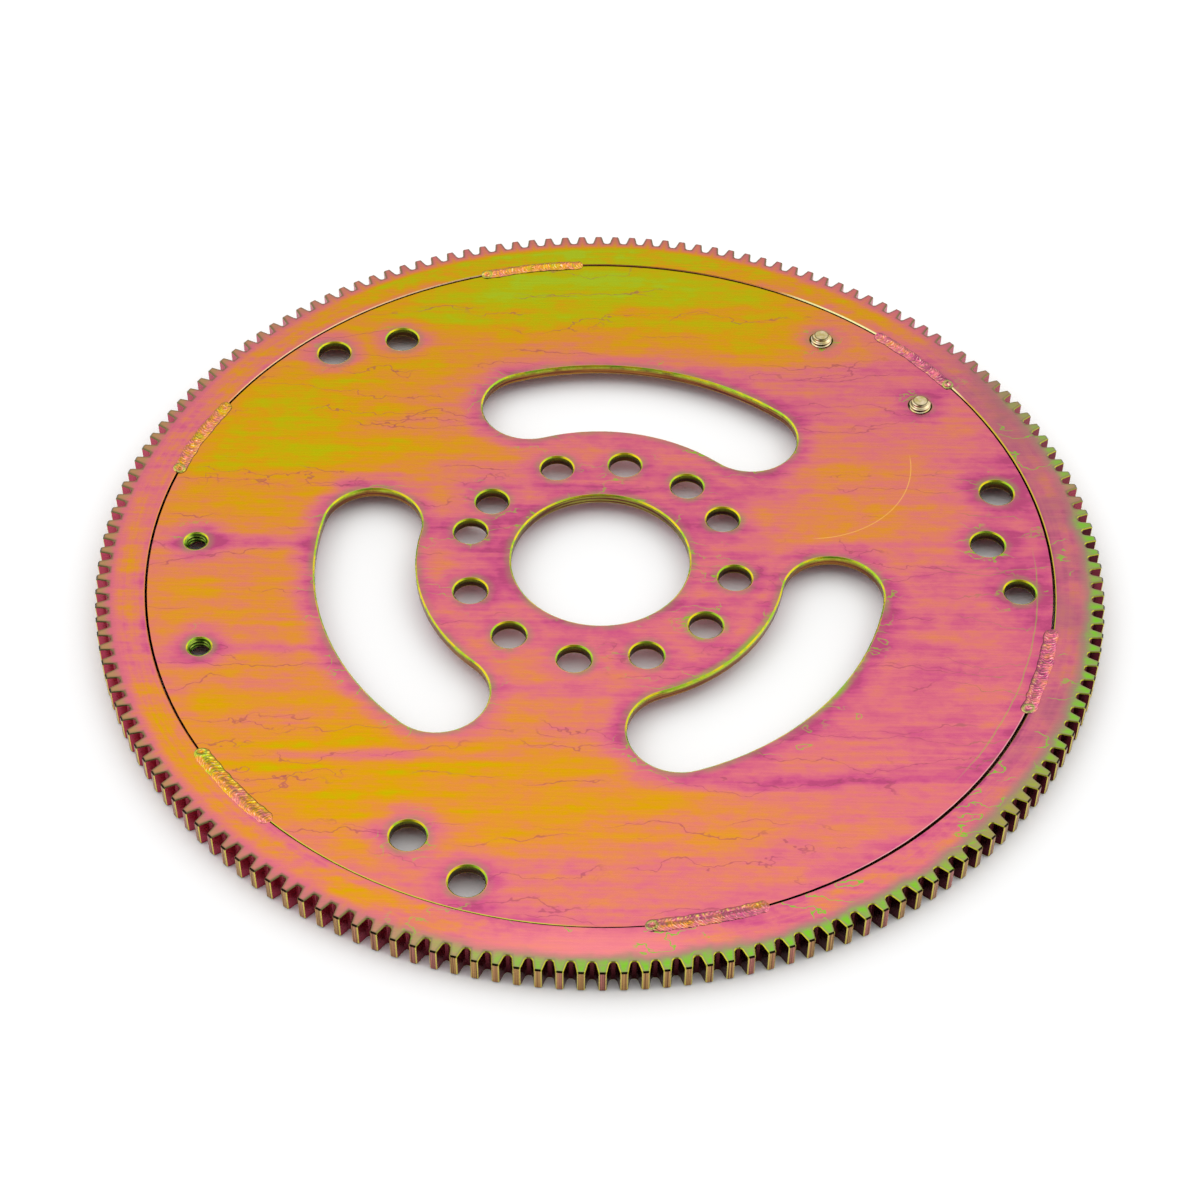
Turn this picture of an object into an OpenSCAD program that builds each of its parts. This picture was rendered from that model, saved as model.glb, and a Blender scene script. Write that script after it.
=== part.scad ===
// Flexplate: a flat steel drive plate inside a starter ring gear.
// Short welds hold the ring to the plate on both faces, and a balance weight is screwed on below.
// It lies on the ring's lower face. The axis is +Z, and the origin is the ring's centre on that face.

/* [Ring gear] */
// Diameter over the tooth tips
ring_od = 350; // [344:1:356]
// Width of the ring from its inner wall to the tooth tips
ring_w = 17; // [14:0.5:20]
// Thickness of the ring
ring_t = 9.5; // [9:0.1:12]
// Number of starter teeth
tooth_count = 166; // [150:1:172]
// Depth of a tooth from tip to root
tooth_depth = 4.3; // [3.5:0.1:4.8]
// Width of a tooth tip
tooth_tip_w = 2.3; // [1.8:0.1:2.5]
// Slope of a tooth flank against the tooth's middle line
flank_deg = 14.5; // [10:0.5:16]
// Size of the fillet in a tooth root
root_fillet = 0.7; // [0.3:0.1:0.9]
// Bevel on the tooth tips, above and below
tip_bevel = 0.4; // [0.2:0.1:0.8]
// Angle of the middle of the first tooth gap
tooth_phase = 0.7; // [0:0.1:2]

/* [Plate] */
// Thickness of the sheet
plate_t = 4.1; // [3:0.1:4.5]
// Depth of the plate's top face below the ring's top face
plate_drop = 0.5; // [0.2:0.1:1]
// Gap between the plate's rim and the ring
rim_gap = 0.7; // [0.3:0.1:1]
// Diameter of the centre bore
bore_d = 62.6; // [56:0.1:68]
// Bevel along the edges of the bore, the windows and the holes
edge_break = 0.45; // [0.2:0.05:0.8]

/* [Windows] */
// Diameter of the circle that the windows follow
window_pcd = 164.4; // [160:0.2:170]
// Width of a window
window_w = 35; // [28:0.5:37]
// Angle between the centres of a window's round ends
window_span = 60; // [40:1:64]
// Angle of the middle of the first window
window_phase = 79; // [70:0.5:90]

/* [Crankshaft bolts] */
// Diameter of the crankshaft bolt circle
crank_pcd = 95.2; // [92:0.1:98]
// Diameter of a crankshaft bolt hole
crank_hole_d = 11.7; // [9:0.1:13]
// Angle of the first crankshaft bolt hole
crank_phase = 109.7; // [100:0.1:120]
// Turn of the holes that are set off the even spacing, so that the plate fits in one position only
crank_index_turn = 5; // [2:0.5:6]

/* [Converter bolts] */
// Distance of the outer converter bolt circle from the ring's inner wall
converter_outer_inset = 12; // [10:0.5:14]
// Distance of the inner converter bolt circle from the ring's inner wall
converter_inner_inset = 21.5; // [20:0.5:26]
// Diameter of a converter bolt hole
converter_hole_d = 12; // [10:0.1:13]
// Angle of the first inner converter bolt hole
converter_phase = 3.8; // [0:0.1:8]
// Turn from an inner hole to the outer hole beside it
converter_step = 10; // [8:0.5:14]
// Diameter of the single drain hole on the outer circle
drain_hole_d = 10.9; // [8:0.1:12]
// Turn from the first inner hole back to the drain hole
drain_step = 9.2; // [8:0.1:12]

/* [Balance weight] */
// Distance of the tapped holes from the ring's inner wall
tapped_inset = 15.8; // [14.5:0.1:18]
// Diameter of the screw thread
thread_d = 7.9; // [6:0.1:8]
// Angle between the two tapped holes of a pair
tapped_step = 20.2; // [18:0.1:24]
// Angle of the middle of the pair that holds the weight
weight_phase = 44.3; // [40:0.1:46]
// Angle of the middle of the open pair
spare_phase = 187.6; // [180:0.1:195]
// Width of the weight
weight_w = 24; // [20:0.5:26]
// Thickness of the weight
weight_t = 4.3; // [4:0.1:4.4]
// Bevel round the weight's lower edge
weight_bevel = 0.6; // [0.2:0.1:1]

/* [Screws] */
// Height of the countersunk screw head
screw_head_h = 3.4; // [2.5:0.1:3.8]
// Length of thread that stands out above the plate
screw_reach = 2.6; // [1.5:0.1:4]
// Bevel on the end of the thread
screw_point = 1.1; // [0.5:0.1:1.4]
// Width across the flats of the key socket
socket_af = 5; // [3:0.5:5.5]
// Depth of the key socket
socket_depth = 2.2; // [1:0.1:2.4]
// Clearance between a screw and the hole it sits in
screw_gap = 0.05; // [0.02:0.01:0.1]
// Added radius of the clearance hole in the weight
weight_hole_gap = 0.3; // [0.1:0.05:0.5]

/* [Welds] */
// Length of a weld bead
weld_len = 40; // [30:1:46]
// Half width of a top bead where it meets the ring
weld_reach = 2.9; // [2:0.1:3.4]
// Height of a top bead above the ring
weld_h = 0.9; // [0.5:0.1:1.4]
// Radius of a fillet bead on the underside
under_weld_r = 3; // [2:0.1:4]
// How far a fillet bead's middle line lies below the plate
under_weld_drop = 0.4; // [0.2:0.1:0.6]
// Depth to which a bead fills the gap between plate and ring
weld_depth = 1.6; // [0.8:0.1:1.9]
// Spacing of the ripples along a bead
weld_ripple = 3; // [2:0.1:4]
// Angle of the first top bead
weld_phase = 41.7; // [38:0.1:46]

/* [Hidden] */
weld_count = 6;
weld_nodes = [for (i = [1:weld_count]) str("weld_bead_", i)];
under_weld_nodes = [for (i = [1:weld_count]) str("under_weld_", i)];
screw_nodes = ["weight_screw_1", "weight_screw_2"];

$fn = 96;
window_count = 3;
converter_count = 3;
// Steps of crank_index_turn by which each hole leaves the even spacing, in order round the circle
crank_shifts = [0, 1, -1, 0, 0, 0, 0, 0, 0, 1, 0, 0];
// The top beads were laid by hand, so each lies a few degrees off its even place
weld_wander = [0, -1.5, -3.6, -0.5, 1, -0.4];
// How far a cutting body reaches past the face that it cuts
over = 1;

tip_r = ring_od / 2;
ring_ri = tip_r - ring_w;
root_r = tip_r - tooth_depth;
plate_r = ring_ri - rim_gap;
plate_top = ring_t - plate_drop;
plate_bottom = plate_top - plate_t;
seam_r = (ring_ri + plate_r) / 2;
converter_outer_r = ring_ri - converter_outer_inset;
converter_inner_r = ring_ri - converter_inner_inset;
tapped_r = ring_ri - tapped_inset;
crank_step = 360 / len(crank_shifts);
weld_step = 360 / weld_count;
weight_bottom = plate_bottom - weight_t;
shank_r = thread_d / 2 - screw_gap;
screw_end = plate_top + screw_reach;
// A top bead's section is a circle through its crown and its two toes on the ring's level
bead_r = (pow(weld_reach, 2) + pow(weld_h, 2)) / (2 * weld_h);
bead_z = ring_t + weld_h - bead_r;

zinc_pink = [0.80, 0.42, 0.46];
zinc_gold = [0.80, 0.58, 0.26];
bright_zinc = [0.80, 0.78, 0.66];

// Places children on a circle of radius r at angle a
module place(r, a) {
    rotate(a) translate([r, 0, 0]) children();
}

// Half section of a hole from z0 to z1, with both edges bevelled, for revolving about Z
module hole_section(r, z0, z1, bevel) {
    polygon([
        [0, z0 - over], [r + bevel + over, z0 - over], [r, z0 + bevel],
        [r, z1 - bevel], [r + bevel + over, z1 + over], [0, z1 + over]
    ]);
}

// Straight hole through the plate, with bevelled edges
module plate_hole(d) {
    rotate_extrude() hole_section(d / 2, plate_bottom, plate_top, edge_break);
}

// Section of an arc slot of width w on radius r, with both edges bevelled
module slot_section(r, w, z0, z1, bevel) {
    translate([r, 0]) {
        hole_section(w / 2, z0, z1, bevel);
        mirror([1, 0]) hole_section(w / 2, z0, z1, bevel);
    }
}

// Window: an arc slot with full round ends
module window_cut() {
    r = window_pcd / 2;
    rotate(-window_span / 2)
        rotate_extrude(angle = window_span)
            slot_section(r, window_w, plate_bottom, plate_top, edge_break);
    for (side = [-1, 1])
        place(r, side * window_span / 2) plate_hole(window_w);
}

module converter_holes() {
    for (i = [0:converter_count - 1]) {
        a = converter_phase + i * 360 / converter_count;
        place(converter_inner_r, a) plate_hole(converter_hole_d);
        place(converter_outer_r, a + converter_step) plate_hole(converter_hole_d);
    }
    place(converter_outer_r, converter_phase - drain_step) plate_hole(drain_hole_d);
}

module crank_holes() {
    for (i = [0:len(crank_shifts) - 1])
        place(crank_pcd / 2, crank_phase + i * crank_step + crank_shifts[i] * crank_index_turn)
            plate_hole(crank_hole_d);
}

// Places children at the two holes of a tapped pair
module tapped_pair(phase) {
    for (side = [-1, 1]) place(tapped_r, phase + side * tapped_step / 2) children();
}

module flex_plate() {
    color(zinc_pink)
    difference() {
        translate([0, 0, plate_bottom]) cylinder(r = plate_r, h = plate_t, $fn = 360);
        plate_hole(bore_d);
        crank_holes();
        converter_holes();
        tapped_pair(weight_phase) plate_hole(thread_d);
        tapped_pair(spare_phase) plate_hole(thread_d);
        for (i = [0:window_count - 1])
            rotate(window_phase + i * 360 / window_count) window_cut();
    }
}

// One side of a tooth gap, from the tip down to the root's middle, as radius and half width of the gap
function gap_side() =
    let (
        half_pitch = PI * tip_r / tooth_count,
        half_tip = half_pitch - tooth_tip_w / 2,
        half_root = half_tip - tooth_depth * tan(flank_deg),
        fillet = min(root_fillet, half_root)
    )
    concat(
        [
            [tip_r + over, half_tip + over * tan(flank_deg)],
            [root_r + fillet, half_root + fillet * tan(flank_deg)]
        ],
        [for (t = [45, 90]) [root_r + fillet * (1 - sin(t)), half_root - fillet * (1 - cos(t))]]
    );

// Toothed outline: every gap runs down one side and up the other
function toothed_outline() =
    let (side = gap_side(), last = len(side) - 1)
    [
        for (i = [0:tooth_count - 1])
            let (a = tooth_phase + i * 360 / tooth_count)
            for (k = [0:2 * last + 1])
                let (
                    q = k <= last ? side[k] : side[2 * last + 1 - k],
                    y = k <= last ? -q[1] : q[1]
                )
                [q[0] * cos(a) - y * sin(a), q[0] * sin(a) + y * cos(a)]
    ];

module ring_gear() {
    color(zinc_gold)
    intersection() {
        linear_extrude(ring_t) polygon(toothed_outline());
        rotate_extrude($fn = 360)
            polygon([
                [ring_ri, 0], [tip_r - tip_bevel, 0], [tip_r, tip_bevel],
                [tip_r, ring_t - tip_bevel], [tip_r - tip_bevel, ring_t], [ring_ri, ring_t]
            ]);
    }
}

// Bead along the seam: a row of overlapping drops of radius r, with its length measured at reach
module bead_body(r, z, reach) {
    run = weld_len - 2 * reach;
    drops = round(run / weld_ripple);
    for (k = [0:drops])
        place(seam_r, (k / drops - 0.5) * run / seam_r * 180 / PI)
            translate([0, 0, z]) sphere(r);
}

// Everything that a bead leaves free: the ring, the plate and the gap beyond the weld's depth
module bead_seat(gap_z0, gap_z1) {
    rotate_extrude($fn = 360) {
        translate([ring_ri, 0]) square([tip_r - ring_ri, ring_t]);
        translate([0, plate_bottom]) square([plate_r, plate_t]);
        translate([0, gap_z0]) square([tip_r, gap_z1 - gap_z0]);
    }
}

module weld_bead(i) {
    color(zinc_gold)
    rotate(weld_phase + (i - 1) * weld_step + weld_wander[i - 1])
    difference() {
        bead_body(bead_r, bead_z, weld_reach);
        bead_seat(-bead_r, plate_top - weld_depth);
    }
}

module under_weld(i) {
    color(zinc_gold)
    rotate(weld_phase + (i - 0.5) * weld_step)
    difference() {
        bead_body(under_weld_r, plate_bottom - under_weld_drop, under_weld_r);
        bead_seat(plate_bottom + weld_depth, ring_t + under_weld_r);
    }
}

// Section of a countersunk screw, opened by gap for its seat in the weight
module screw_section(gap) {
    neck_r = shank_r + gap;
    head_r = neck_r + screw_head_h;
    polygon([
        [0, weight_bottom], [head_r, weight_bottom], [neck_r, weight_bottom + screw_head_h],
        [neck_r, screw_end - screw_point], [neck_r - screw_point, screw_end], [0, screw_end]
    ]);
}

module weight_screw(side) {
    color(bright_zinc)
    place(tapped_r, weight_phase + side * tapped_step / 2)
    difference() {
        rotate_extrude() screw_section(0);
        translate([0, 0, weight_bottom - over])
            cylinder(d = socket_af / cos(30), h = socket_depth + over, $fn = 6);
    }
}

// Half section of the weight across its width, with its lower edge bevelled
module weight_section() {
    polygon([
        [0, weight_bottom], [weight_w / 2 - weight_bevel, weight_bottom],
        [weight_w / 2, weight_bottom + weight_bevel], [weight_w / 2, plate_bottom], [0, plate_bottom]
    ]);
}

module balance_weight() {
    color(zinc_pink)
    rotate(weight_phase)
    difference() {
        union() {
            rotate(-tapped_step / 2)
                rotate_extrude(angle = tapped_step, $fn = 360)
                    translate([tapped_r, 0]) {
                        weight_section();
                        mirror([1, 0]) weight_section();
                    }
            for (side = [-1, 1])
                place(tapped_r, side * tapped_step / 2) rotate_extrude() weight_section();
        }
        for (side = [-1, 1])
            place(tapped_r, side * tapped_step / 2) {
                rotate_extrude() screw_section(screw_gap);
                translate([0, 0, weight_bottom]) cylinder(r = shank_r + weight_hole_gap, h = weight_t + over);
            }
    }
}

flex_plate();
ring_gear();
for (i = [1:weld_count]) {
    weld_bead(i);
    under_weld(i);
}
balance_weight();
weight_screw(-1);  // weight_screw_1
weight_screw(1);  // weight_screw_2
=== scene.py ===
import math
from functools import partial
from types import SimpleNamespace

import bmesh
import bpy
from mathutils import Matrix, Vector, noise


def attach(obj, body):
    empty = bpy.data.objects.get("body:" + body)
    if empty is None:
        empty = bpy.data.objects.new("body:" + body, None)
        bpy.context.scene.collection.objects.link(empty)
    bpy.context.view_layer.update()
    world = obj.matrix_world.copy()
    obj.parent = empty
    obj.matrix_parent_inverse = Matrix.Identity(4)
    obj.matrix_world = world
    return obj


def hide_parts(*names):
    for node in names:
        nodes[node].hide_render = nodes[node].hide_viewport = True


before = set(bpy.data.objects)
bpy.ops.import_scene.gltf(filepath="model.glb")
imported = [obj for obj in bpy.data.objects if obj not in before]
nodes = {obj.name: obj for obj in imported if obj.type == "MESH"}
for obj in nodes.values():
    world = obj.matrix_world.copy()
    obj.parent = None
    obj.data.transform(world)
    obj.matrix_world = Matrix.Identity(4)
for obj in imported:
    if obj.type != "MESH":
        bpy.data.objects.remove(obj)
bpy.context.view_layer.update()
mm = 0.001
zAxis = Vector((0, 0, 1))
print("frame loaded:", len(nodes), "nodes")

# the part's own sizes, as its source has them, in mm and degrees
part = {
    "ringTop": 9.5, "ringTip": 175.0, "ringIn": 158.0, "plateTop": 9.0, "plateBottom": 4.9, "plateRim": 157.3,
    "seam": 157.65, "bore": 31.3, "windowCircle": 82.2, "windowHalf": 17.5, "windowSpan": 60.0,
    "windowPhase": 79.0, "tappedCircle": 142.2, "tappedStep": 20.2, "weightPhase": 44.3, "sparePhase": 187.6,
}
# round holes of the plate: circle radius, degrees, hole radius
crankShifts = [0, 1, -1, 0, 0, 0, 0, 0, 0, 1, 0, 0]
holes = [(47.6, 109.7 + 30 * i + 5 * shift, 5.85) for i, shift in enumerate(crankShifts)]
for i in range(3):
    holes += [(136.5, 3.8 + 120 * i, 6.0), (146.0, 13.8 + 120 * i, 6.0)]
holes += [(146.0, -5.4, 5.45)]
screwHoles, openHoles = [[(part["tappedCircle"], part[phase] + side * part["tappedStep"] / 2, 3.95)
                          for side in (-1, 1)] for phase in ("weightPhase", "sparePhase")]
holes += screwHoles + openHoles


def linear(hexColour):
    parts = [int(hexColour[i:i + 2], 16) / 255 for i in (1, 3, 5)]
    return [c / 12.92 if c <= 0.04045 else ((c + 0.055) / 1.055) ** 2.4 for c in parts] + [1.0]


def polar(r, degrees, z=0.0):
    a = math.radians(degrees)
    return Vector((r * math.cos(a), r * math.sin(a), z))


# adds a node: inputs in order, or by name or number in at={}; a socket is linked, a hex colour is set as linear,
# and anything else is set as it is
def addNode(tree, kind, *inputs, out=0, at={}, **settings):
    node = tree.nodes.new("ShaderNode" + kind)
    for name, value in settings.items():
        setattr(node, name, value)
    for place, value in [*enumerate(inputs), *at.items()]:
        if isinstance(value, bpy.types.NodeSocket):
            tree.links.new(value, node.inputs[place])
        else:
            node.inputs[place].default_value = linear(value) if isinstance(value, str) else value
    return node.outputs[out] if node.outputs else node


colourMix = {"data_type": "RGBA", "out": 2}   # a Mix node for colours, which has them in sockets 6 and 7
smooth = {"interpolation_type": "SMOOTHSTEP"}


# a new material, and addNode for its nodes
def newMaterial(name):
    material = bpy.data.materials.new(name)
    material.use_nodes = True
    material.node_tree.nodes.clear()
    return material, partial(addNode, material.node_tree)


def newPiece(name, bm, material, smoothFaces=True):
    bmesh.ops.scale(bm, verts=bm.verts[:], vec=(mm, mm, mm))
    bmesh.ops.recalc_face_normals(bm, faces=bm.faces[:])
    mesh = bpy.data.meshes.new(name)
    bm.to_mesh(mesh)
    bm.free()
    for face in mesh.polygons:
        face.use_smooth = smoothFaces
    mesh.materials.append(material)
    piece = bpy.data.objects.new(name, mesh)
    bpy.context.scene.collection.objects.link(piece)
    return piece


# object coordinates in mm: the point, its place in plan, x, y, z, radius and angle
def millimetres(add):
    here = SimpleNamespace()
    metres = add("TexCoord", out=3)
    here.place = add("VectorMath", metres, at={"Scale": 1 / mm}, operation="SCALE")
    here.flat = add("VectorMath", here.place, (1, 1, 0), operation="MULTIPLY")
    here.x = add("SeparateXYZ", here.place)
    here.y, here.z = here.x.node.outputs[1], here.x.node.outputs[2]
    here.r = add("VectorMath", here.flat, operation="LENGTH", out=1)
    here.angle = add("Math", here.y, here.x, operation="ARCTAN2")
    return here


# noise whose cells have the given size in mm
def mottle(add, place, size, detail, out=0):
    scaled = add("VectorMath", place, [1 / s for s in size], operation="MULTIPLY")
    return add("TexNoise", scaled, at={"Scale": 1.0, "Detail": detail, "Roughness": 0.6}, out=out)


# noise as a shift in all directions, from -0.5 to 0.5, which frays the outlines of clouds
def driftNoise(add, place, size):
    drift = mottle(add, place, size, 4.0, out=1)
    return add("VectorMath", drift, (0.5, 0.5, 0.5), operation="SUBTRACT")


# shifts a field in patches: middle, half length and half height in mm, and the shift at the middle
def addPatches(add, field, place, patches):
    for cx, cy, rx, ry, shift in patches:
        spot = add("Mapping", place, (-cx / rx, -cy / ry, 0), (0, 0, 0), (1 / rx, 1 / ry, 0))
        reach = add("VectorMath", spot, operation="LENGTH", out=1)
        amount = add("MapRange", reach, 0.0, 1.0, shift, 0.0, **smooth)
        field = add("Math", field, amount, operation="ADD")
    return field


# shifts a field by noise: cell size in mm, detail, and the whole swing
def addStreaks(add, field, place, streaks):
    for size, detail, swing in streaks:
        streak = add("MapRange", mottle(add, place, size, detail), 0.38, 0.62, -swing / 2, swing / 2, **smooth)
        field = add("Math", field, streak, operation="ADD")
    return field


# an amount that fades in over each of the ranges: value, where it is nothing, where it is full
def faded(add, amount, *ranges):
    for value, nothing, full in ranges:
        share = add("MapRange", value, nothing, full)
        amount = add("Math", amount, share, operation="MULTIPLY")
    return amount


# a thin line where a distance in mm passes zero: half width where it is full and where it is gone, and its amount
def thinLine(add, off, full, gone, most):
    return add("MapRange", add("Math", off, operation="ABSOLUTE"), full, gone, most, 0.0)


# an arc round the part: its middle, its half width and how far it fades in, in degrees, and its amount
def arc(add, flat, degrees, reach, fade, most=1.0):
    aim = add("VectorMath", flat, operation="NORMALIZE")
    aim = add("VectorMath", aim, polar(1, degrees), operation="DOT_PRODUCT", out=1)
    nothing, full = math.cos(math.radians(reach)), math.cos(math.radians(reach - fade))
    return add("MapRange", aim, nothing, full, 0.0, most)


# 1 on a broken edge, told by how far its face looks up
def bevelled(add, upward):
    return faded(add, add("MapRange", upward, 0.97, 0.86), (upward, 0.15, 0.40))


# mm to the nearest tide mark; the marks run along X, spacing mm apart, and wander by sway mm
def tideDistance(add, place, spacing, sway, offset):
    moved = add("VectorMath", place, (offset, offset, 0), operation="ADD")
    level = add("SeparateXYZ", moved, out=1)
    for size, share in (((55, 32, 1), 1.0), ((13, 9, 1), 0.38), ((3, 2.2, 1), 0.11)):
        wander = mottle(add, moved, size, 1.0)
        level = add("Math", wander, 2 * sway * share, level, operation="MULTIPLY_ADD")
    return add("Math", level, spacing / 2, operation="PINGPONG")


# Yellow zinc chromate: a thin film on zinc whose thickness sets its colour, from magenta through pink,
# orange and gold to olive and green. Satin, because the zinc is fine-grained.
zincFilm = {
    "stops": [(0.0, "#9E3A66"), (0.12, "#C4527C"), (0.28, "#D36C77"), (0.42, "#D67A5C"), (0.55, "#D68832"),
              (0.68, "#D0960A"), (0.80, "#BDA700"), (0.90, "#B0B000"), (1.0, "#A6B81A")],
    "roughness": 0.30, "roughSwing": 0.12, "grain": (22.0, 0.8, 0.8), "grainDepth": 0.00012, "grainShare": 0.22,
}


def filmColour(add, warmth):
    colour = add("ValToRGB", warmth)
    ramp = colour.node.color_ramp
    for i, (place, hexColour) in enumerate(zincFilm["stops"]):
        stop = ramp.elements[i] if i < 2 else ramp.elements.new(place)
        stop.position, stop.color = place, linear(hexColour)
    return colour


# the film's shader, with the rolled grain drawn at 0.8 mm so that it shows
def filmSurface(add, place, colour):
    grain = mottle(add, place, zincFilm["grain"], 3.0)
    low = zincFilm["roughness"] - zincFilm["roughSwing"] / 2
    rough = add("MapRange", grain, 0.3, 0.7, low, low + zincFilm["roughSwing"])
    bump = add("Bump", at={"Strength": zincFilm["grainShare"], "Distance": zincFilm["grainDepth"], "Height": grain})
    shader = add("BsdfPrincipled", at={"Base Color": colour, "Metallic": 1.0, "Roughness": rough, "Normal": bump})
    add("OutputMaterial", shader)


# sheet finish: patches and drain streaks as addPatches takes them, streaks as addStreaks does, and tints
plateLooks = {
    "base": 0.41, "tilt": -0.0010, "least": 0.06, "drift": (60, 24, 1),
    "cloudDrift": (60, 26, 0),
    "clouds": [(5, 158, 250, 78, 0.60), (-115, 68, 78, 62, 0.25), (-70, -97, 130, 48, 0.19),
               (10, -110, 75, 30, 0.14), (94, 24, 58, 50, 0.24), (62, 112, 44, 18, 0.12), (-8, 4, 92, 78, -0.16),
               (-40, -150, 100, 24, -0.08), (112, -62, 60, 60, -0.03), (-62, 58, 40, 26, 0.12),
               (120, 70, 40, 30, 0.08), (-82, 94, 44, 24, 0.14), (-128, 40, 40, 24, 0.08), (0, -80, 34, 16, -0.10),
               (40, -130, 64, 28, 0.08), (-40, 0, 24, 32, -0.10)],
    "drainDrift": (40, 6, 0),
    "drains": [(-122, 5.5, 50, 6, -0.42), (-118, -44, 46, 5, -0.26), (-78, -90, 70, 5, -0.36),
               (70, -99, 56, 5, -0.20), (-14, -62, 30, 5, -0.14), (-30, 110, 70, 4, -0.10), (100, 8, 46, 4, -0.16),
               (70, 34, 60, 3, -0.12), (-96, 40, 50, 3, -0.14), (-60, 88, 46, 4, -0.08), (-30, 36, 40, 3, -0.14),
               (6, 132, 10, 9, -0.16), (-20, 134, 9, 8, -0.10), (28, 142, 9, 7, -0.08)],
    "streaks": [((130, 8, 1), 3.0, 0.11), ((40, 2.2, 1), 4.0, 0.06), ((24, 14, 1), 7.0, 0.11),
                ((5, 3.4, 1), 4.0, 0.06)],
    # the film near an edge: reach in mm and shift, and ranges that make it less at the hub and more on the left
    "halo": 11.0, "haloShift": -0.25, "haloHub": (55.0, 70.0, 0.6, 1.0), "haloLeft": (-60.0, -90.0, 1.0, 1.4),
    "rimHalo": 10.3, "rimShift": -0.10,
    # tide marks: spacing, sway and offset, and the range of x over which they turn green
    "tides": [(31, 14, 5.0), (43, 18, 63.0), (24, 11, 131.0), (37, 12, 211.0), (29, 19, 307.0)],
    "tideWidth": 0.30, "tideStain": -0.05, "stainReach": 5.0, "tideGreen": (115.0, 150.0, 0.0, 0.8),
    # lines as thinLine takes them, and the ranges over which they fade in
    "scratch": {"middle": (73.0, 49.7), "radius": 39.0, "line": (0.08, 0.22, 0.8), "left": (74.0, 77.0),
                "top": (54.0, 50.0), "colour": "#EDB45C"},
    "seamLine": {"radius": 152.4, "sway": (9, 9, 1), "line": (0.12, 0.34, 0.4), "low": (-0.72, -0.60),
                 "high": (0.06, -0.04)},
    "drops": [(98, -37), (86, -71), (68, -77), (64, -84), (92, -42)], "dropRadius": 1.2,
    "dropLine": (0.1, 0.35, 0.6), "threads": (8, 24, 17.0), "threadLine": (0.14, 0.34, 0.9),
    "smears": [(50, -42, 30), (82, -58, 20)],   # middle and reach
    # painted glints along the rim at the front
    "rimGlints": [(246, 24, 0.9, "#BCC23A"), (321, 24, 0.7, "#E0A8A4")],   # degrees, half width, amount, colour
    # the lips, the lower edge of the walls and the shoulder band carry painted highlight; the dark in the holes and
    # round the screws is painted shade
    "tide": "#944458", "edge": "#94845A", "green": "#7FB41E", "lip": ("#DCCB22", "#9CC42E"), "cleftShade": "#241C10",
    "wall": ("#5E2A2A", "#A06A30"), "hole": ("#1E120E", "#6F7A1C"), "bore": "#9A963C", "footHighlight": "#C4AE48",
    "shoulder": "#BEDC3C",
}


# how far a point of the plate lies from the nearest cut edge, in mm
def cutEdge(add, here):
    third = math.radians(120)
    turn = add("Math", here.angle, third / 2 - math.radians(part["windowPhase"]), operation="ADD")
    turn = add("Math", turn, third, 0.0, operation="WRAP")
    turn = add("Math", turn, -third / 2, operation="ADD")
    turn = add("Math", turn, operation="ABSOLUTE")
    turn = add("Math", turn, -math.radians(part["windowSpan"] / 2), operation="ADD")
    turn = add("Math", turn, 0.0, operation="MAXIMUM")
    ahead, aside = [add("Math", here.r, add("Math", turn, operation=way), operation="MULTIPLY")
                    for way in ("COSINE", "SINE")]
    away = add("CombineXYZ", ahead, aside, 0.0)
    away = add("VectorMath", away, (part["windowCircle"], 0, 0), operation="DISTANCE", out=1)
    edge = add("Math", away, -part["windowHalf"], operation="ADD")
    away = add("Math", here.r, -part["bore"], operation="ADD")
    edge = add("Math", edge, away, operation="MINIMUM")
    for radius, degrees, size in holes:
        away = add("VectorMath", here.flat, polar(radius, degrees), operation="DISTANCE", out=1)
        away = add("Math", away, -size, operation="ADD")
        edge = add("Math", edge, away, operation="MINIMUM")
    return edge


# film of the sheet: clouds and drain streaks, thinner along the cut edges and the rim
def plateWarmth(add, here, edge, cloudy, wavering):
    looks = plateLooks
    warmth = add("Math", here.x, looks["tilt"], looks["base"], operation="MULTIPLY_ADD")
    warmth = addPatches(add, warmth, cloudy, looks["clouds"])
    warmth = addPatches(add, warmth, wavering, looks["drains"])
    warmth = addStreaks(add, warmth, here.flat, looks["streaks"])
    halo = add("MapRange", edge, 0.0, looks["halo"], looks["haloShift"], 0.0, **smooth)
    for across, share in ((here.r, "haloHub"), (here.x, "haloLeft")):
        share = add("MapRange", across, *looks[share])
        halo = add("Math", halo, share, operation="MULTIPLY")
    rim = add("MapRange", here.r, part["plateRim"] - looks["rimHalo"], part["plateRim"], 0.0,
              looks["rimShift"], **smooth)
    for shift in (halo, rim):
        warmth = add("Math", warmth, shift, operation="ADD")
    return warmth


# the film's colour with its tide marks: a thin line with a faint stain beside it, in stretches
def plateFilm(add, here, warmth):
    looks = plateLooks
    lines = []
    for spacing, sway, offset in looks["tides"]:
        off = tideDistance(add, here.flat, spacing, sway, offset)
        where = mottle(add, here.flat, (spacing * 1.7, spacing * 0.8, 1), 1.0)
        where = add("MapRange", where, 0.50, 0.57)
        stain = add("MapRange", off, 0.0, looks["stainReach"], looks["tideStain"], 0.0)
        warmth = add("Math", stain, where, warmth, operation="MULTIPLY_ADD")
        line = add("MapRange", off, looks["tideWidth"] * 0.4, looks["tideWidth"], 0.5, 0.0)
        lines.append(add("Math", line, where, operation="MULTIPLY"))
    colour = filmColour(add, add("Math", warmth, looks["least"], operation="MAXIMUM"))
    # the marks are plum, and green towards the right
    right = add("MapRange", here.x, *looks["tideGreen"])
    tint = add("Mix", right, at={6: looks["tide"], 7: looks["green"]}, **colourMix)
    for line in lines:
        colour = add("Mix", line, at={6: colour, 7: tint}, **colourMix)
    return colour


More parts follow.
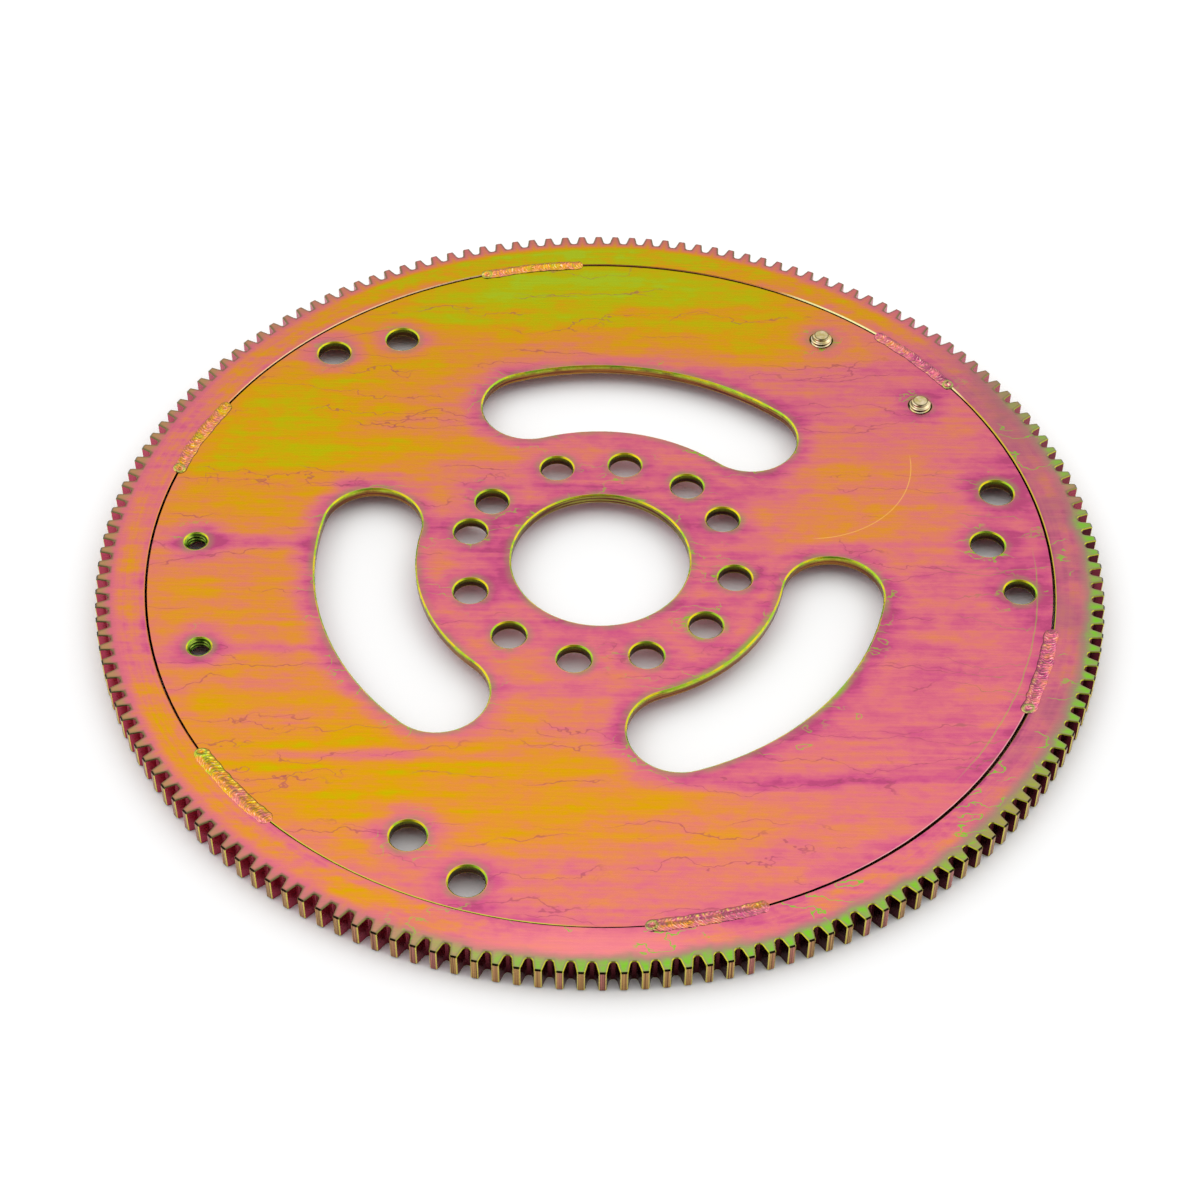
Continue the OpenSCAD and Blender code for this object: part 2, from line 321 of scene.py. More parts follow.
# one long curved scratch, a green line inside the seam on the right, and rings where drops dried by a window
def plateMarks(add, here, wavering, colour):
    looks, scratch, seamLine = plateLooks, plateLooks["scratch"], plateLooks["seamLine"]
    line = add("VectorMath", here.flat, (*scratch["middle"], 0), operation="DISTANCE", out=1)
    line = add("Math", line, -scratch["radius"], operation="ADD")
    line = thinLine(add, line, *scratch["line"])
    line = faded(add, line, (here.x, *scratch["left"]), (here.y, *scratch["top"]))
    colour = add("Mix", line, at={6: colour, 7: scratch["colour"]}, **colourMix)
    sway = mottle(add, here.flat, seamLine["sway"], 2.0)
    line = add("Math", sway, -seamLine["radius"], operation="ADD")
    line = thinLine(add, add("Math", here.r, line, operation="ADD"), *seamLine["line"])
    line = faded(add, line, (here.angle, *seamLine["low"]), (here.angle, *seamLine["high"]))
    for cx, cy in looks["drops"]:
        drop = add("VectorMath", wavering, (cx, cy, 0), operation="DISTANCE", out=1)
        drop = add("Math", drop, -looks["dropRadius"], operation="ADD")
        drop = thinLine(add, drop, *looks["dropLine"])
        line = add("Math", line, drop, operation="MAXIMUM")
    return add("Mix", line, at={6: colour, 7: looks["green"]}, **colourMix)


# grey-green tarnish, green smears and green threads close to the cut edges, and how smeared an edge is
def plateTarnish(add, here, edge, colour):
    looks, flat = plateLooks, here.flat
    grime = add("MapRange", mottle(add, flat, (9, 9, 9), 4.0), 0.38, 0.62, 0.1, 0.9)
    close = add("MapRange", edge, 0.6, 3.6, 0.8, 0.0, **smooth)
    close = add("Math", close, grime, operation="MULTIPLY")
    colour = add("Mix", close, at={6: colour, 7: looks["edge"]}, **colourMix)
    hug = add("MapRange", edge, 0.5, 2.6, 0.9, 0.0)
    hug = add("Math", hug, grime, operation="MULTIPLY")
    smeared = grime
    for cx, cy, reach in looks["smears"]:
        smear = add("VectorMath", flat, (cx, cy, 0), operation="DISTANCE", out=1)
        smear = add("MapRange", smear, reach, reach * 0.5, **smooth)
        smeared = add("Math", smeared, smear, operation="MAXIMUM")
        smear = add("Math", smear, hug, operation="MULTIPLY")
        colour = add("Mix", smear, at={6: colour, 7: looks["green"]}, **colourMix)
    thread = thinLine(add, tideDistance(add, flat, *looks["threads"]), *looks["threadLine"])
    thread = faded(add, thread, (edge, 8.0, 1.0), (mottle(add, flat, (24, 24, 1), 1.0), 0.50, 0.56))
    return add("Mix", thread, at={6: colour, 7: looks["green"]}, **colourMix), smeared


# walls of the cut-outs are brown with lines along them, a painted highlight along the lower edge and, under the
# smears, a green band with painted highlight; round holes are green, going down into painted shade
def plateWalls(add, here, smeared):
    looks, top, bottom = plateLooks, part["plateTop"], part["plateBottom"]
    dark, light = looks["wall"]
    lines = add("MapRange", mottle(add, here.place, (30, 30, 0.7), 3.0), 0.42, 0.62)
    wall = add("Mix", lines, at={6: dark, 7: light}, **colourMix)
    # a bright green band below the top edge where smeared: the smears' green with a painted highlight
    shoulder = add("MapRange", here.z, top - 1.9, top - 0.9, 0.0, 0.9)
    shoulder = add("Math", shoulder, smeared, operation="MULTIPLY")
    drilled = add("Math", here.r, -part["windowCircle"], operation="ADD")
    drilled = add("Math", drilled, operation="ABSOLUTE")
    drilled = add("MapRange", drilled, part["windowHalf"] + 1, part["windowHalf"] + 2, 0.0, 0.75)
    # round holes: green near the top, going down into painted shade
    deep = add("MapRange", here.z, top - 2.3, top - 0.6)
    deep = add("Mix", deep, at={6: looks["hole"][0], 7: looks["hole"][1]}, **colourMix)
    bored = add("MapRange", here.r, part["bore"] + 2, part["bore"] + 1)
    bore = add("Mix", lines, at={6: dark, 7: looks["bore"]}, **colourMix)
    # a painted highlight along the lower edge of the walls
    footHighlight = add("MapRange", here.z, bottom + 0.7, bottom + 0.4)
    for amount, tint in ((shoulder, looks["shoulder"]), (drilled, deep), (bored, bore), (footHighlight, looks["footHighlight"])):
        wall = add("Mix", amount, at={6: wall, 7: tint}, **colourMix)
    return wall


# painted highlight on the lips that roll over into the top, painted glints along the rim at the front, and painted
# shade in the dark clefts round the screws
def plateLips(add, here, edge, upward, colour):
    looks = plateLooks
    # painted highlight on the broken edges, rolled over onto the top
    rolled = faded(add, add("MapRange", edge, 0.75, 0.45, 0.0, 0.5), (upward, 0.90, 0.97))
    lip = add("Math", bevelled(add, upward), rolled, operation="MAXIMUM")
    tint = add("MapRange", mottle(add, here.flat, (7, 7, 1), 2.0), 0.42, 0.58)
    tint = add("Mix", tint, at={6: looks["lip"][0], 7: looks["lip"][1]}, **colourMix)
    colour = add("Mix", lip, at={6: colour, 7: tint}, **colourMix)
    # painted glints along the rim at the front
    for degrees, reach, most, glint in looks["rimGlints"]:
        rim = faded(add, arc(add, here.flat, degrees, reach, 6, most),
                    (here.r, part["plateRim"] - 0.42, part["plateRim"] - 0.30))
        colour = add("Mix", rim, at={6: colour, 7: glint}, **colourMix)
    # painted shade in the clefts round the screws
    for radius, degrees, size in screwHoles:
        cleftShade = add("VectorMath", here.flat, polar(radius, degrees), operation="DISTANCE", out=1)
        cleftShade = add("MapRange", cleftShade, size + 0.75, size + 0.45, 0.0, 0.9)
        colour = add("Mix", cleftShade, at={6: colour, 7: looks["cleftShade"]}, **colourMix)
    return colour


def makePlateZinc():
    material, add = newMaterial("yellow zinc chromate on rolled steel sheet")
    here = millimetres(add)
    edge = cutEdge(add, here)
    # outlines are drawn along X by the way the sheet was rolled and drained
    drift = driftNoise(add, here.flat, plateLooks["drift"])
    cloudy, wavering = [add("VectorMath", drift, plateLooks[reach], here.flat, operation="MULTIPLY_ADD")
                        for reach in ("cloudDrift", "drainDrift")]
    colour = plateFilm(add, here, plateWarmth(add, here, edge, cloudy, wavering))
    colour = plateMarks(add, here, wavering, colour)
    colour, smeared = plateTarnish(add, here, edge, colour)
    upward = add("SeparateXYZ", add("NewGeometry", out=1), out=2)
    wall = add("MapRange", add("Math", upward, operation="ABSOLUTE"), 0.35, 0.15)
    colour = add("Mix", wall, at={6: colour, 7: plateWalls(add, here, smeared)}, **colourMix)
    filmSurface(add, here.place, plateLips(add, here, edge, upward, colour))
    return material


plateZinc = makePlateZinc()
nodes["flex_plate"].data.materials.clear()
nodes["flex_plate"].data.materials.append(plateZinc)
print("plate finished")


# the weight is a blanked plate with the same film, without the drain marks of the big sheet
def makeWeightZinc():
    material, add = newMaterial("yellow zinc chromate on blanked steel")
    place = millimetres(add).place
    warmth = add("MapRange", mottle(add, place, (40, 6, 6), 4.0), 0.25, 0.75, 0.18, 0.66)
    filmSurface(add, place, filmColour(add, warmth))
    return material


nodes["balance_weight"].data.materials.clear()
nodes["balance_weight"].data.materials.append(makeWeightZinc())
print("balance weight finished")


# starter ring: one tooth gap is drawn, lifted and spun round, its bore is let wander, and its edges are broken
ring = {
    "teeth": 166, "depth": 4.3, "tipWidth": 2.3, "flank": 14.5, "fillet": 0.7, "tipBevel": 0.5, "phase": 0.7,
    "edge": 0.28,
    # where the seam opens or closes: degrees, half width, mm
    "seam": [(318, 45, 0.34), (352, 30, 0.16), (192, 40, 0.10), (248, 50, -0.40), (118, 50, -0.25), (84, 30, -0.20),
             (45, 50, -0.30)],
}
# patches as addPatches takes them, streaks as addStreaks does, and tints; where two are given, the second is that
# of the front and right
ringLooks = {
    "base": 0.34, "drift": (40, 14, 1), "cloudDrift": (50, 20, 0),
    "clouds": [(0, 172, 180, 64, 0.64), (-96, 138, 70, 40, 0.30), (-165, 10, 34, 60, 0.12),
               (-140, -90, 60, 50, 0.30), (-80, -150, 60, 40, 0.18), (104, 134, 44, 40, 0.22),
               (165, 0, 50, 100, -0.12), (142, -90, 44, 50, -0.16), (5, -168, 80, 22, -0.04),
               (-136, 98, 46, 54, 0.17)],
    "streaks": [((80, 6, 1), 3.0, 0.12), ((26, 1.8, 1), 4.0, 0.04), ((14, 10, 1), 5.0, 0.15),
                ((4, 3.2, 1), 4.0, 0.07)],
    "turning": ((90, 90, 2.2), 3.0, 0.11),
    "toothReach": 5.0, "toothWarmth": 0.22, "seamHalo": 4.0, "seamShift": -0.14,
    # where the seam's edge shines: degrees, half width, mm and colour
    "glints": [(48, 17, 0.32, "#EAE2A0"), (128, 24, 0.12, "#DDB488"), (12, 20, 0.30, "#BFA63C"),
               (322, 24, 0.52, "#A88A40")],
    # duller over these ranges of x and of the radius
    "dull": "#A2646C", "dullRight": (105.0, 160.0, 0.0, 0.65), "dullTeeth": (168.0, 172.0, 0.0, 0.45),
    "dullPatches": [(142, 86, 40, 36, 0.5)], "sheen": "#E68284", "sheenPatches": [(0, -166, 70, 16, 0.75)],
    # radii between which a tint comes in over the teeth, and the range of x of the olive on the left
    "tarnishFrom": (166.0, 170.5), "greenFrom": (169.0, 172.0), "oliveFrom": (169.5, 173.0),
    "left": (-70.0, -150.0), "olivePatches": [(132, -112, 58, 52, 0.85)],
    "greenPatches": [(170, 33, 24, 16, -0.7), (172, -8, 20, 14, -0.35)],
    "worms": (11, 34, 29.0), "wormLine": (0.2, 0.6, 0.9), "tipLines": 0.5,
    "tarnish": "#928268", "outline": "#6E6644", "olive": "#A08C4C", "green": "#76B82C",
    # painted light in these tints: the edge tints are painted highlight, the front flank and the root painted
    # shade, the seam wall's tints painted shade and highlight, and the bevel a painted dark reflection
    "tipEdge": ("#6C6A40", "#C6C63A"), "seamEdge": ("#D2864E", "#B4AE34"), "flank": ("#B4445C", "#4E0F1E"),
    "root": "#5E1C1E", "seat": "#20130F", "seatTop": "#E9D89A", "tip": ("#C2985C", "#6E4530"),
    "tipPink": "#BE6C76", "corner": "#D8C860", "bevel": "#241B14",
}
ringRoot = part["ringTip"] - ring["depth"]
flankSlope = math.tan(math.radians(ring["flank"]))


# film of the ring before its edges are reckoned in: clouds drawn along X, and rings left by turning
def ringWarmth(add, here):
    looks = ringLooks
    drift = driftNoise(add, here.flat, looks["drift"])
    cloudy = add("VectorMath", drift, looks["cloudDrift"], here.flat, operation="MULTIPLY_ADD")
    warmth = addPatches(add, looks["base"], cloudy, looks["clouds"])
    warmth = addStreaks(add, warmth, here.flat, looks["streaks"])
    turned = add("CombineXYZ", 0.0, 0.0, here.r)
    turned = add("VectorMath", turned, here.flat, operation="ADD")
    return addStreaks(add, warmth, turned, [looks["turning"]])


# 0 at the back left, 1 towards the front and right, where the film runs out through grey to green
def frontRight(add, flat):
    facing = add("VectorMath", flat, (0.766, -0.643, 0), operation="DOT_PRODUCT", out=1)
    return add("MapRange", facing, 20.0, 125.0, 0.0, 1.0, **smooth)


# how far a point of the ring's top lies from the outline of the teeth, in mm
def toothEdge(add, here):
    half = math.pi / ring["teeth"]
    turn = add("Math", here.angle, -math.radians(ring["phase"]), operation="ADD")
    turn = add("Math", turn, half, operation="PINGPONG")   # 0 at a gap's middle
    turn = add("Math", half, turn, operation="SUBTRACT")
    aside = add("Math", turn, here.r, operation="MULTIPLY")
    atZero = ring["tipWidth"] / 2 + part["ringTip"] * flankSlope   # half a tooth's width, run on to the axis
    width = add("Math", here.r, -flankSlope, atZero, operation="MULTIPLY_ADD")
    edge = add("Math", width, aside, operation="SUBTRACT")
    root = add("Math", ringRoot, here.r, operation="SUBTRACT")
    edge = add("Math", edge, root, operation="MAXIMUM")
    tip = add("Math", part["ringTip"], here.r, operation="SUBTRACT")
    return add("Math", edge, tip, operation="MINIMUM")


# the top: pinker along the teeth and the seam, duller on the right and over the teeth, and with a painted sheen in
# front
def ringTop(add, here, edge):
    looks, flat = ringLooks, here.flat
    amount = add("MapRange", edge, 0.3, looks["toothReach"], 0.85, 0.0, **smooth)
    warmth = add("Mix", amount, at={2: ringWarmth(add, here), 3: looks["toothWarmth"]})
    halo = add("MapRange", here.r, part["ringIn"], part["ringIn"] + looks["seamHalo"], looks["seamShift"], 0.0)
    colour = filmColour(add, add("Math", warmth, halo, operation="ADD"))
    dull = add("MapRange", here.x, *looks["dullRight"], **smooth)
    teeth = add("MapRange", here.r, *looks["dullTeeth"])
    dull = add("Math", dull, teeth, operation="MAXIMUM")
    dull = addPatches(add, dull, flat, looks["dullPatches"])
    patch = add("MapRange", mottle(add, flat, (18, 18, 1), 3.0), 0.35, 0.60, 0.4, 1.0)
    dull = add("Math", dull, patch, operation="MULTIPLY")
    sheen = addPatches(add, 0.0, flat, looks["sheenPatches"])
    for amount, tint in ((dull, "dull"), (sheen, "sheen")):
        colour = add("Mix", amount, at={6: colour, 7: looks[tint]}, **colourMix)
    return colour


# over the teeth grey and then green towards the front and right, olive on the left, with grey along their edges,
# and green worm-like tide marks on the front and right
def ringTarnish(add, here, edge, facing, colour):
    looks, flat = ringLooks, here.flat
    blotch = add("Math", mottle(add, flat, (13, 13, 1), 3.0), 7.0, -3.5, operation="MULTIPLY_ADD")
    spread = add("Math", blotch, here.r, operation="ADD")
    olive = addPatches(add, 0.0, flat, looks["olivePatches"])
    green = add("Mix", olive, at={6: looks["green"], 7: looks["olive"]}, **colourMix)
    specks = add("MapRange", mottle(add, flat, (3, 3, 1), 4.0), 0.36, 0.56, 0.55, 1.0)
    for tint, start, most in ((looks["tarnish"], "tarnishFrom", 0.9), (green, "greenFrom", specks)):
        amount = add("MapRange", spread, *looks[start], 0.0, most, **smooth)
        amount = add("Math", amount, facing, operation="MULTIPLY")
        colour = add("Mix", amount, at={6: colour, 7: tint}, **colourMix)
    olive = add("MapRange", spread, *looks["oliveFrom"], 0.0, 0.7, **smooth)
    olive = faded(add, olive, (here.x, *looks["left"]))
    outline = add("MapRange", edge, 0.3, 1.2, 0.8, 0.0, **smooth)
    grey = add("Mix", facing, at={6: looks["outline"], 7: looks["tarnish"]}, **colourMix)
    worm = thinLine(add, tideDistance(add, flat, *looks["worms"]), *looks["wormLine"])
    worm = faded(add, worm, (mottle(add, flat, (22, 22, 1), 1.0), 0.50, 0.54), (facing, 0.0, 0.5))
    for amount, tint in ((olive, looks["olive"]), (outline, grey), (worm, looks["green"])):
        colour = add("Mix", amount, at={6: colour, 7: tint}, **colourMix)
    return colour


# cut flanks are red, with painted shade that makes them deeper at the front and in the roots, and the wall at the
# seam has painted shade below a painted highlight along its top edge at the back
def ringWalls(add, here, facing, top):
    looks = ringLooks
    # painted shade: flanks darker at the front and in the roots
    flank = add("Mix", facing, at={6: looks["flank"][0], 7: looks["flank"][1]}, **colourMix)
    root = add("MapRange", here.r, ringRoot + 1.3, ringRoot, 0.0, 0.5)
    # painted highlight along the top of the wall at the seam, at the back, over painted shade below it
    pale = add("MapRange", here.z, part["plateTop"] - 0.5, part["plateTop"] - 0.1)
    pale = faded(add, pale, (here.y, 40.0, 90.0))
    seat = add("Mix", pale, at={6: looks["seat"], 7: looks["seatTop"]}, **colourMix)
    below = add("MapRange", here.z, part["plateBottom"], part["plateBottom"] - 0.6)
    seat = add("Mix", below, at={6: seat, 7: top}, **colourMix)
    inner = add("MapRange", here.r, part["ringIn"] + 2.0, part["ringIn"] + 1.5)
    for amount, tint in ((root, looks["root"]), (inner, seat)):
        flank = add("Mix", amount, at={6: flank, 7: tint}, **colourMix)
    return flank


# tooth tips are tan, some pink, with lines down them and yellow corners
def ringTips(add, here, outward):
    looks = ringLooks
    lines = add("Math", here.angle, part["ringTip"] / looks["tipLines"], operation="MULTIPLY")
    lines = add("TexNoise", at={"W": lines, "Scale": 1.0, "Detail": 2.0}, noise_dimensions="1D")
    lines = add("MapRange", lines, 0.40, 0.64)
    pink = add("MapRange", mottle(add, here.flat, (9, 9, 1), 1.0), 0.50, 0.60, 0.0, 0.8)
    corner = add("MapRange", outward, 0.96, 0.90)
    tip = looks["tip"][0]
    for amount, tint in ((pink, looks["tipPink"]), (lines, looks["tip"][1]), (corner, looks["corner"])):
        tip = add("Mix", amount, at={6: tip, 7: tint}, **colourMix)
    return tip


# broken edges painted brighter as a painted highlight, painted glints along the seam, and a painted dark reflection
# on the bevel over the tips
def ringEdges(add, here, facing, upward, outward, colour):
    looks = ringLooks
    lip = bevelled(add, upward)
    # broken edges in the film's tints, painted brighter as a painted highlight
    for tints, nothing, full in (("seamEdge", 165.0, 164.0), ("tipEdge", 164.0, 165.0)):
        tint = add("Mix", facing, at={6: looks[tints][0], 7: looks[tints][1]}, **colourMix)
        amount = faded(add, lip, (here.r, nothing, full))
        colour = add("Mix", amount, at={6: colour, 7: tint}, **colourMix)
    for degrees, reach, width, glint in looks["glints"]:
        amount = faded(add, arc(add, here.flat, degrees, reach, 4),
                       (here.r, part["ringIn"] + width + 0.1, part["ringIn"] + width - 0.1))
        colour = add("Mix", amount, at={6: colour, 7: glint}, **colourMix)
    # painted dark reflection on the bevel over the tips
    bevel = faded(add, lip, (here.r, part["ringTip"] - 0.60, part["ringTip"] - 0.46), (outward, 0.60, 0.68))
    return add("Mix", bevel, at={6: colour, 7: looks["bevel"]}, **colourMix)


def makeRingZinc():
    material, add = newMaterial("yellow zinc chromate on machined steel ring")
    here = millimetres(add)
    facing = addPatches(add, frontRight(add, here.flat), here.flat, ringLooks["greenPatches"])
    edge = toothEdge(add, here)
    colour = ringTarnish(add, here, edge, facing, ringTop(add, here, edge))
    normal = add("NewGeometry", out=1)
    upward = add("Math", add("SeparateXYZ", normal, out=2), operation="ABSOLUTE")
    outward = add("VectorMath", here.flat, operation="NORMALIZE")
    outward = add("VectorMath", normal, outward, operation="DOT_PRODUCT", out=1)
    wall = add("MapRange", upward, 0.30, 0.10)
    tip = faded(add, wall, (outward, 0.45, 0.60), (here.r, part["ringTip"] - 2.0, part["ringTip"] - 1.6))
    for amount, tint in ((wall, ringWalls(add, here, facing, colour)), (tip, ringTips(add, here, outward))):
        colour = add("Mix", amount, at={6: colour, 7: tint}, **colourMix)
    filmSurface(add, here.place, ringEdges(add, here, facing, upward, outward, colour))
    return material


def seamShift(degrees):
    shift = 0.0
    for middle, reach, most in ring["seam"]:
        off = abs((degrees - middle + 180) % 360 - 180) / reach
        shift += most * (0.5 + 0.5 * math.cos(math.pi * min(off, 1.0)))
    return shift


def makeRing():
    bm = bmesh.new()
    half = math.pi / ring["teeth"]
    tipR, fillet, lift = part["ringTip"], ring["fillet"], ring["tipBevel"]
    tipGap = tipR * half - ring["tipWidth"] / 2
    rootGap = tipGap - ring["depth"] * flankSlope
    side = [polar(part["ringIn"], 0), polar(part["ringIn"], math.degrees(half)), polar(tipR, math.degrees(half)),
            Vector((tipR, tipGap, 0)), Vector((ringRoot + fillet, rootGap + fillet * flankSlope, 0))]
    for t in (30, 60, 90):
        a = math.radians(t)
        side.append(Vector((ringRoot + fillet * (1 - math.sin(a)), rootGap - fillet * (1 - math.cos(a)), 0)))
    outline = [bm.verts.new(p) for p in side]
    outline += [bm.verts.new((p.x, -p.y, 0)) for p in reversed(side[1:])]
    level = [bm.faces.new(outline)]
    for up in (lift, part["ringTop"] - 2 * lift, lift):   # the bevel over the tips takes the first and the last
        new = bmesh.ops.extrude_face_region(bm, geom=level)["geom"]
        if len(bm.faces) > len(outline) + 2:   # only the first outline stays, as the underside
            bmesh.ops.delete(bm, geom=level, context="FACES_ONLY")
        level = [g for g in new if isinstance(g, bmesh.types.BMFace)]
        bmesh.ops.translate(bm, verts=[g for g in new if isinstance(g, bmesh.types.BMVert)], vec=(0, 0, up))
    for v in bm.verts:
        if v.co.xy.length > tipR - 0.3 and not 0.1 < v.co.z < part["ringTop"] - 0.1:
            if abs(v.co.y) < tipGap + 0.01:   # a tip's corner slides down its flank, its middle straight in
                v.co -= Vector((1, math.copysign(flankSlope, v.co.y), 0)) * lift
            else:
                v.co -= Vector((v.co.x, v.co.y, 0)).normalized() * lift
    cut = [f for f in bm.faces if all(abs(abs(math.atan2(v.co.y, v.co.x)) - half) < 1e-5 for v in f.verts)]
    bmesh.ops.delete(bm, geom=cut, context="FACES")
    turn = Matrix.Rotation(math.radians(ring["phase"]), 3, "Z")
    bmesh.ops.rotate(bm, verts=bm.verts[:], cent=(0, 0, 0), matrix=turn)
    bmesh.ops.spin(bm, geom=bm.verts[:] + bm.edges[:] + bm.faces[:], cent=(0, 0, 0), axis=zAxis,
                   angle=2 * half * (ring["teeth"] - 1), steps=ring["teeth"] - 1, use_duplicate=True)
    bmesh.ops.remove_doubles(bm, verts=bm.verts[:], dist=0.004)
    bmesh.ops.recalc_face_normals(bm, faces=bm.faces[:])
    for v in bm.verts:
        if v.co.xy.length < part["ringIn"] + 0.1:
            shift = seamShift(math.degrees(math.atan2(v.co.y, v.co.x)))
            v.co += Vector((v.co.x, v.co.y, 0)).normalized() * shift
    sharp = [e for e in bm.edges if e.calc_face_angle(0) > math.radians(50)]
    bmesh.ops.bevel(bm, geom=sharp, offset=ring["edge"], offset_type="OFFSET", segments=1, profile=0.5, material=-1,
                    affect="EDGES", clamp_overlap=True)
    return newPiece("starter_ring", bm, makeRingZinc(), smoothFaces=False)


starterRing = makeRing()
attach(starterRing, "root")
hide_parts("ring_gear")
print("starter ring:", len(starterRing.data.polygons), "faces")


# weld beads: a grid bent along the seam, raised into ripples with drops along the inner toe and a crater where
# the arc stopped; under the plate the same bead lies as a fillet in the corner
bead = {
    "length": 40.0, "halfWidth": 2.9, "height": 0.45, "ripple": 1.2, "rippleHeight": 0.26, "crescent": 2.2,
    "drop": 1.7, "dropHeight": 0.30, "crater": 2.2, "craterDepth": 0.5, "craterR": 0.9, "lip": 1.7,
    "lipHeight": 0.25, "grain": 0.12, "leg": 3.1, "step": 0.22, "sunk": 0.05, "skirt": 0.5, "phase": 41.7,
    # bead by bead: degrees off its place, the end with the crater, size of the drops, width, and shift of the film
    "wander": [0, -1.5, -3.6, -0.5, 1, -0.4], "craterEnd": [-1, 1, 1, -1, -1, -1],
    "drops": [0.5, 0.3, 0.4, 1.4, 1.0, 0.5], "width": [0.78, 0.75, 0.85, 1.0, 0.92, 0.92],
    "film": [-0.14, -0.30, 0.12, 0.08, 0.0, -0.06],
}
beadLooks = {"patch": ((3, 3, 3), 3.0, 0.26), "trough": "#77745A", "drop": "#E8D84C", "crater": "#86AC3E",
             "toe": "#3E3222", "glint": "#F4D2B4", "roughness": 0.16}


# weld metal takes the ring's film, shifted from bead to bead, greyer between the ripples (its grey-green with
# painted shade), with painted glints on the crests, gold on the drops, green round the crater and painted shade
# along the inner toe
def makeWeldZinc():
    material, add = newMaterial("yellow zinc chromate on weld metal")
    here = millimetres(add)
    shift = add("Attribute", attribute_name="film", out=2)
    warmth = add("Math", ringWarmth(add, here), shift, operation="ADD")
    colour = filmColour(add, addStreaks(add, warmth, here.place, [beadLooks["patch"]]))
    trough = add("SeparateColor", add("Attribute", attribute_name="marks"))
    drop, crater = trough.node.outputs[1], trough.node.outputs[2]
    toe = add("Attribute", attribute_name="marks", out=3)
    specks = add("MapRange", mottle(add, here.place, (2, 2, 2), 3.0), 0.42, 0.58)
    # painted glints on the crests, and painted shade between the ripples
    glint = faded(add, add("MapRange", trough, 0.12, 0.02, 0.0, 0.7), (specks, 0.6, 0.0))
    trough = add("Math", trough, specks, operation="MULTIPLY")
    for amount, tint in ((trough, "trough"), (glint, "glint"), (drop, "drop"), (crater, "crater"), (toe, "toe")):
        colour = add("Mix", amount, at={6: colour, 7: beadLooks[tint]}, **colourMix)
    shader = add("BsdfPrincipled", at={"Base Color": colour, "Metallic": 1.0, "Roughness": beadLooks["roughness"]})
    add("OutputMaterial", shader)
    return material


def makeBead(name, degrees, seed, craterEnd, drops, width, film, under):
    bm = bmesh.new()
    marks = bm.verts.layers.float_color.new("marks")
    shift = bm.verts.layers.float.new("film")
    along, across = int(bead["length"] / bead["step"]), int(2 * bead["halfWidth"] / bead["step"])
    bmesh.ops.create_grid(bm, x_segments=along, y_segments=across, size=1.0)
    halfLength, halfWidth = bead["length"] / 2, bead["halfWidth"] * width
    cornerR, cornerZ = part["ringIn"] + bead["sunk"], part["plateBottom"] + bead["sunk"]
    for v in bm.verts:
        s, w = v.co.x * halfLength, v.co.y
        at = Vector((s * 0.33, seed * 7.3, 0))
        # round ends, and toes that wander
        end = math.sqrt(max(0.0, 1 - max(0.0, (abs(s) - halfLength + halfWidth) / halfWidth) ** 2))
        toeNoise = noise.noise(at + Vector((0, 3, w)))
        dr = w * halfWidth * end * (1 + 0.16 * toeNoise) + 0.35 * noise.noise(at * 0.5)
        crown = max(0.0, 1 - w * w) ** 0.5 * end
        turn = (s * craterEnd + bead["crescent"] * w * w) / bead["ripple"]
        turn += 0.8 * noise.noise(at * 2 + Vector((0, w, 5)))
        crest = abs(math.sin(math.pi * turn)) ** 1.5
        bulge = math.cos(math.pi * s / bead["drop"] + 5.0 * noise.noise(at * 1.1)) ** 4 * drops
        bulge *= math.exp(-((w + 0.66 + 0.3 * noise.noise(at * 2)) / 0.17) ** 2)
        bulge *= min(1.0, max(0.0, 0.6 + 2.2 * noise.noise(at * 2.4 + Vector((0, 0, 9)))))
        away = math.hypot(s - craterEnd * (halfLength - bead["crater"]), dr)
        lip = math.exp(-((away - bead["lip"]) / 0.5) ** 2)
        lift = bead["height"] * (0.85 + 0.35 * noise.noise(at + Vector((4, 0, 0))))
        lift += bead["rippleHeight"] * crest * (0.8 + 0.8 * noise.noise(at * 2.1))
        lift += bead["grain"] * noise.noise(Vector((s * 1.4, dr * 1.4, seed))) + bead["dropHeight"] * bulge
        lift += bead["lipHeight"] * lip - bead["craterDepth"] * math.exp(-(away / bead["craterR"]) ** 2)
        lift *= crown
        if under:
            swing = math.radians(45 * (w + 1))
            leg = bead["leg"] * end * (1 + 0.10 * toeNoise) + 0.6 * lift
            r, z = cornerR - leg * math.cos(swing), cornerZ - leg * math.sin(swing)
        else:
            onRing = min(1.0, max(0.0, 0.5 + dr / 1.4))
            r = part["seam"] + dr
            z = part["plateTop"] + (part["ringTop"] - part["plateTop"]) * onRing + lift - bead["sunk"]
        v.co = polar(r, degrees + math.degrees(s / part["seam"]), z)
        v[shift] = film
        # marks: painted shade between the ripples, the drops, the crater's lip, and painted shade along the inner
        # toe
        toe = max(0.0, min(1.0, (-w - 0.86) / 0.08))
        v[marks] = (0.6 * (1 - crest), min(1.0, bulge), 0.7 * lip, toe)
    skirt = bmesh.ops.extrude_edge_only(bm, edges=[e for e in bm.edges if e.is_boundary])["geom"]
    for v in [g for g in skirt if isinstance(g, bmesh.types.BMVert)]:
        if under:   # the back of a fillet closes on its corner
            v.co = polar(cornerR, math.degrees(math.atan2(v.co.y, v.co.x)), cornerZ)
        else:
            v.co.z -= bead["skirt"]
    bmesh.ops.remove_doubles(bm, verts=bm.verts[:], dist=0.01)
    bmesh.ops.contextual_create(bm, geom=[e for e in bm.edges if e.is_boundary])
    return newPiece(name, bm, weldZinc)


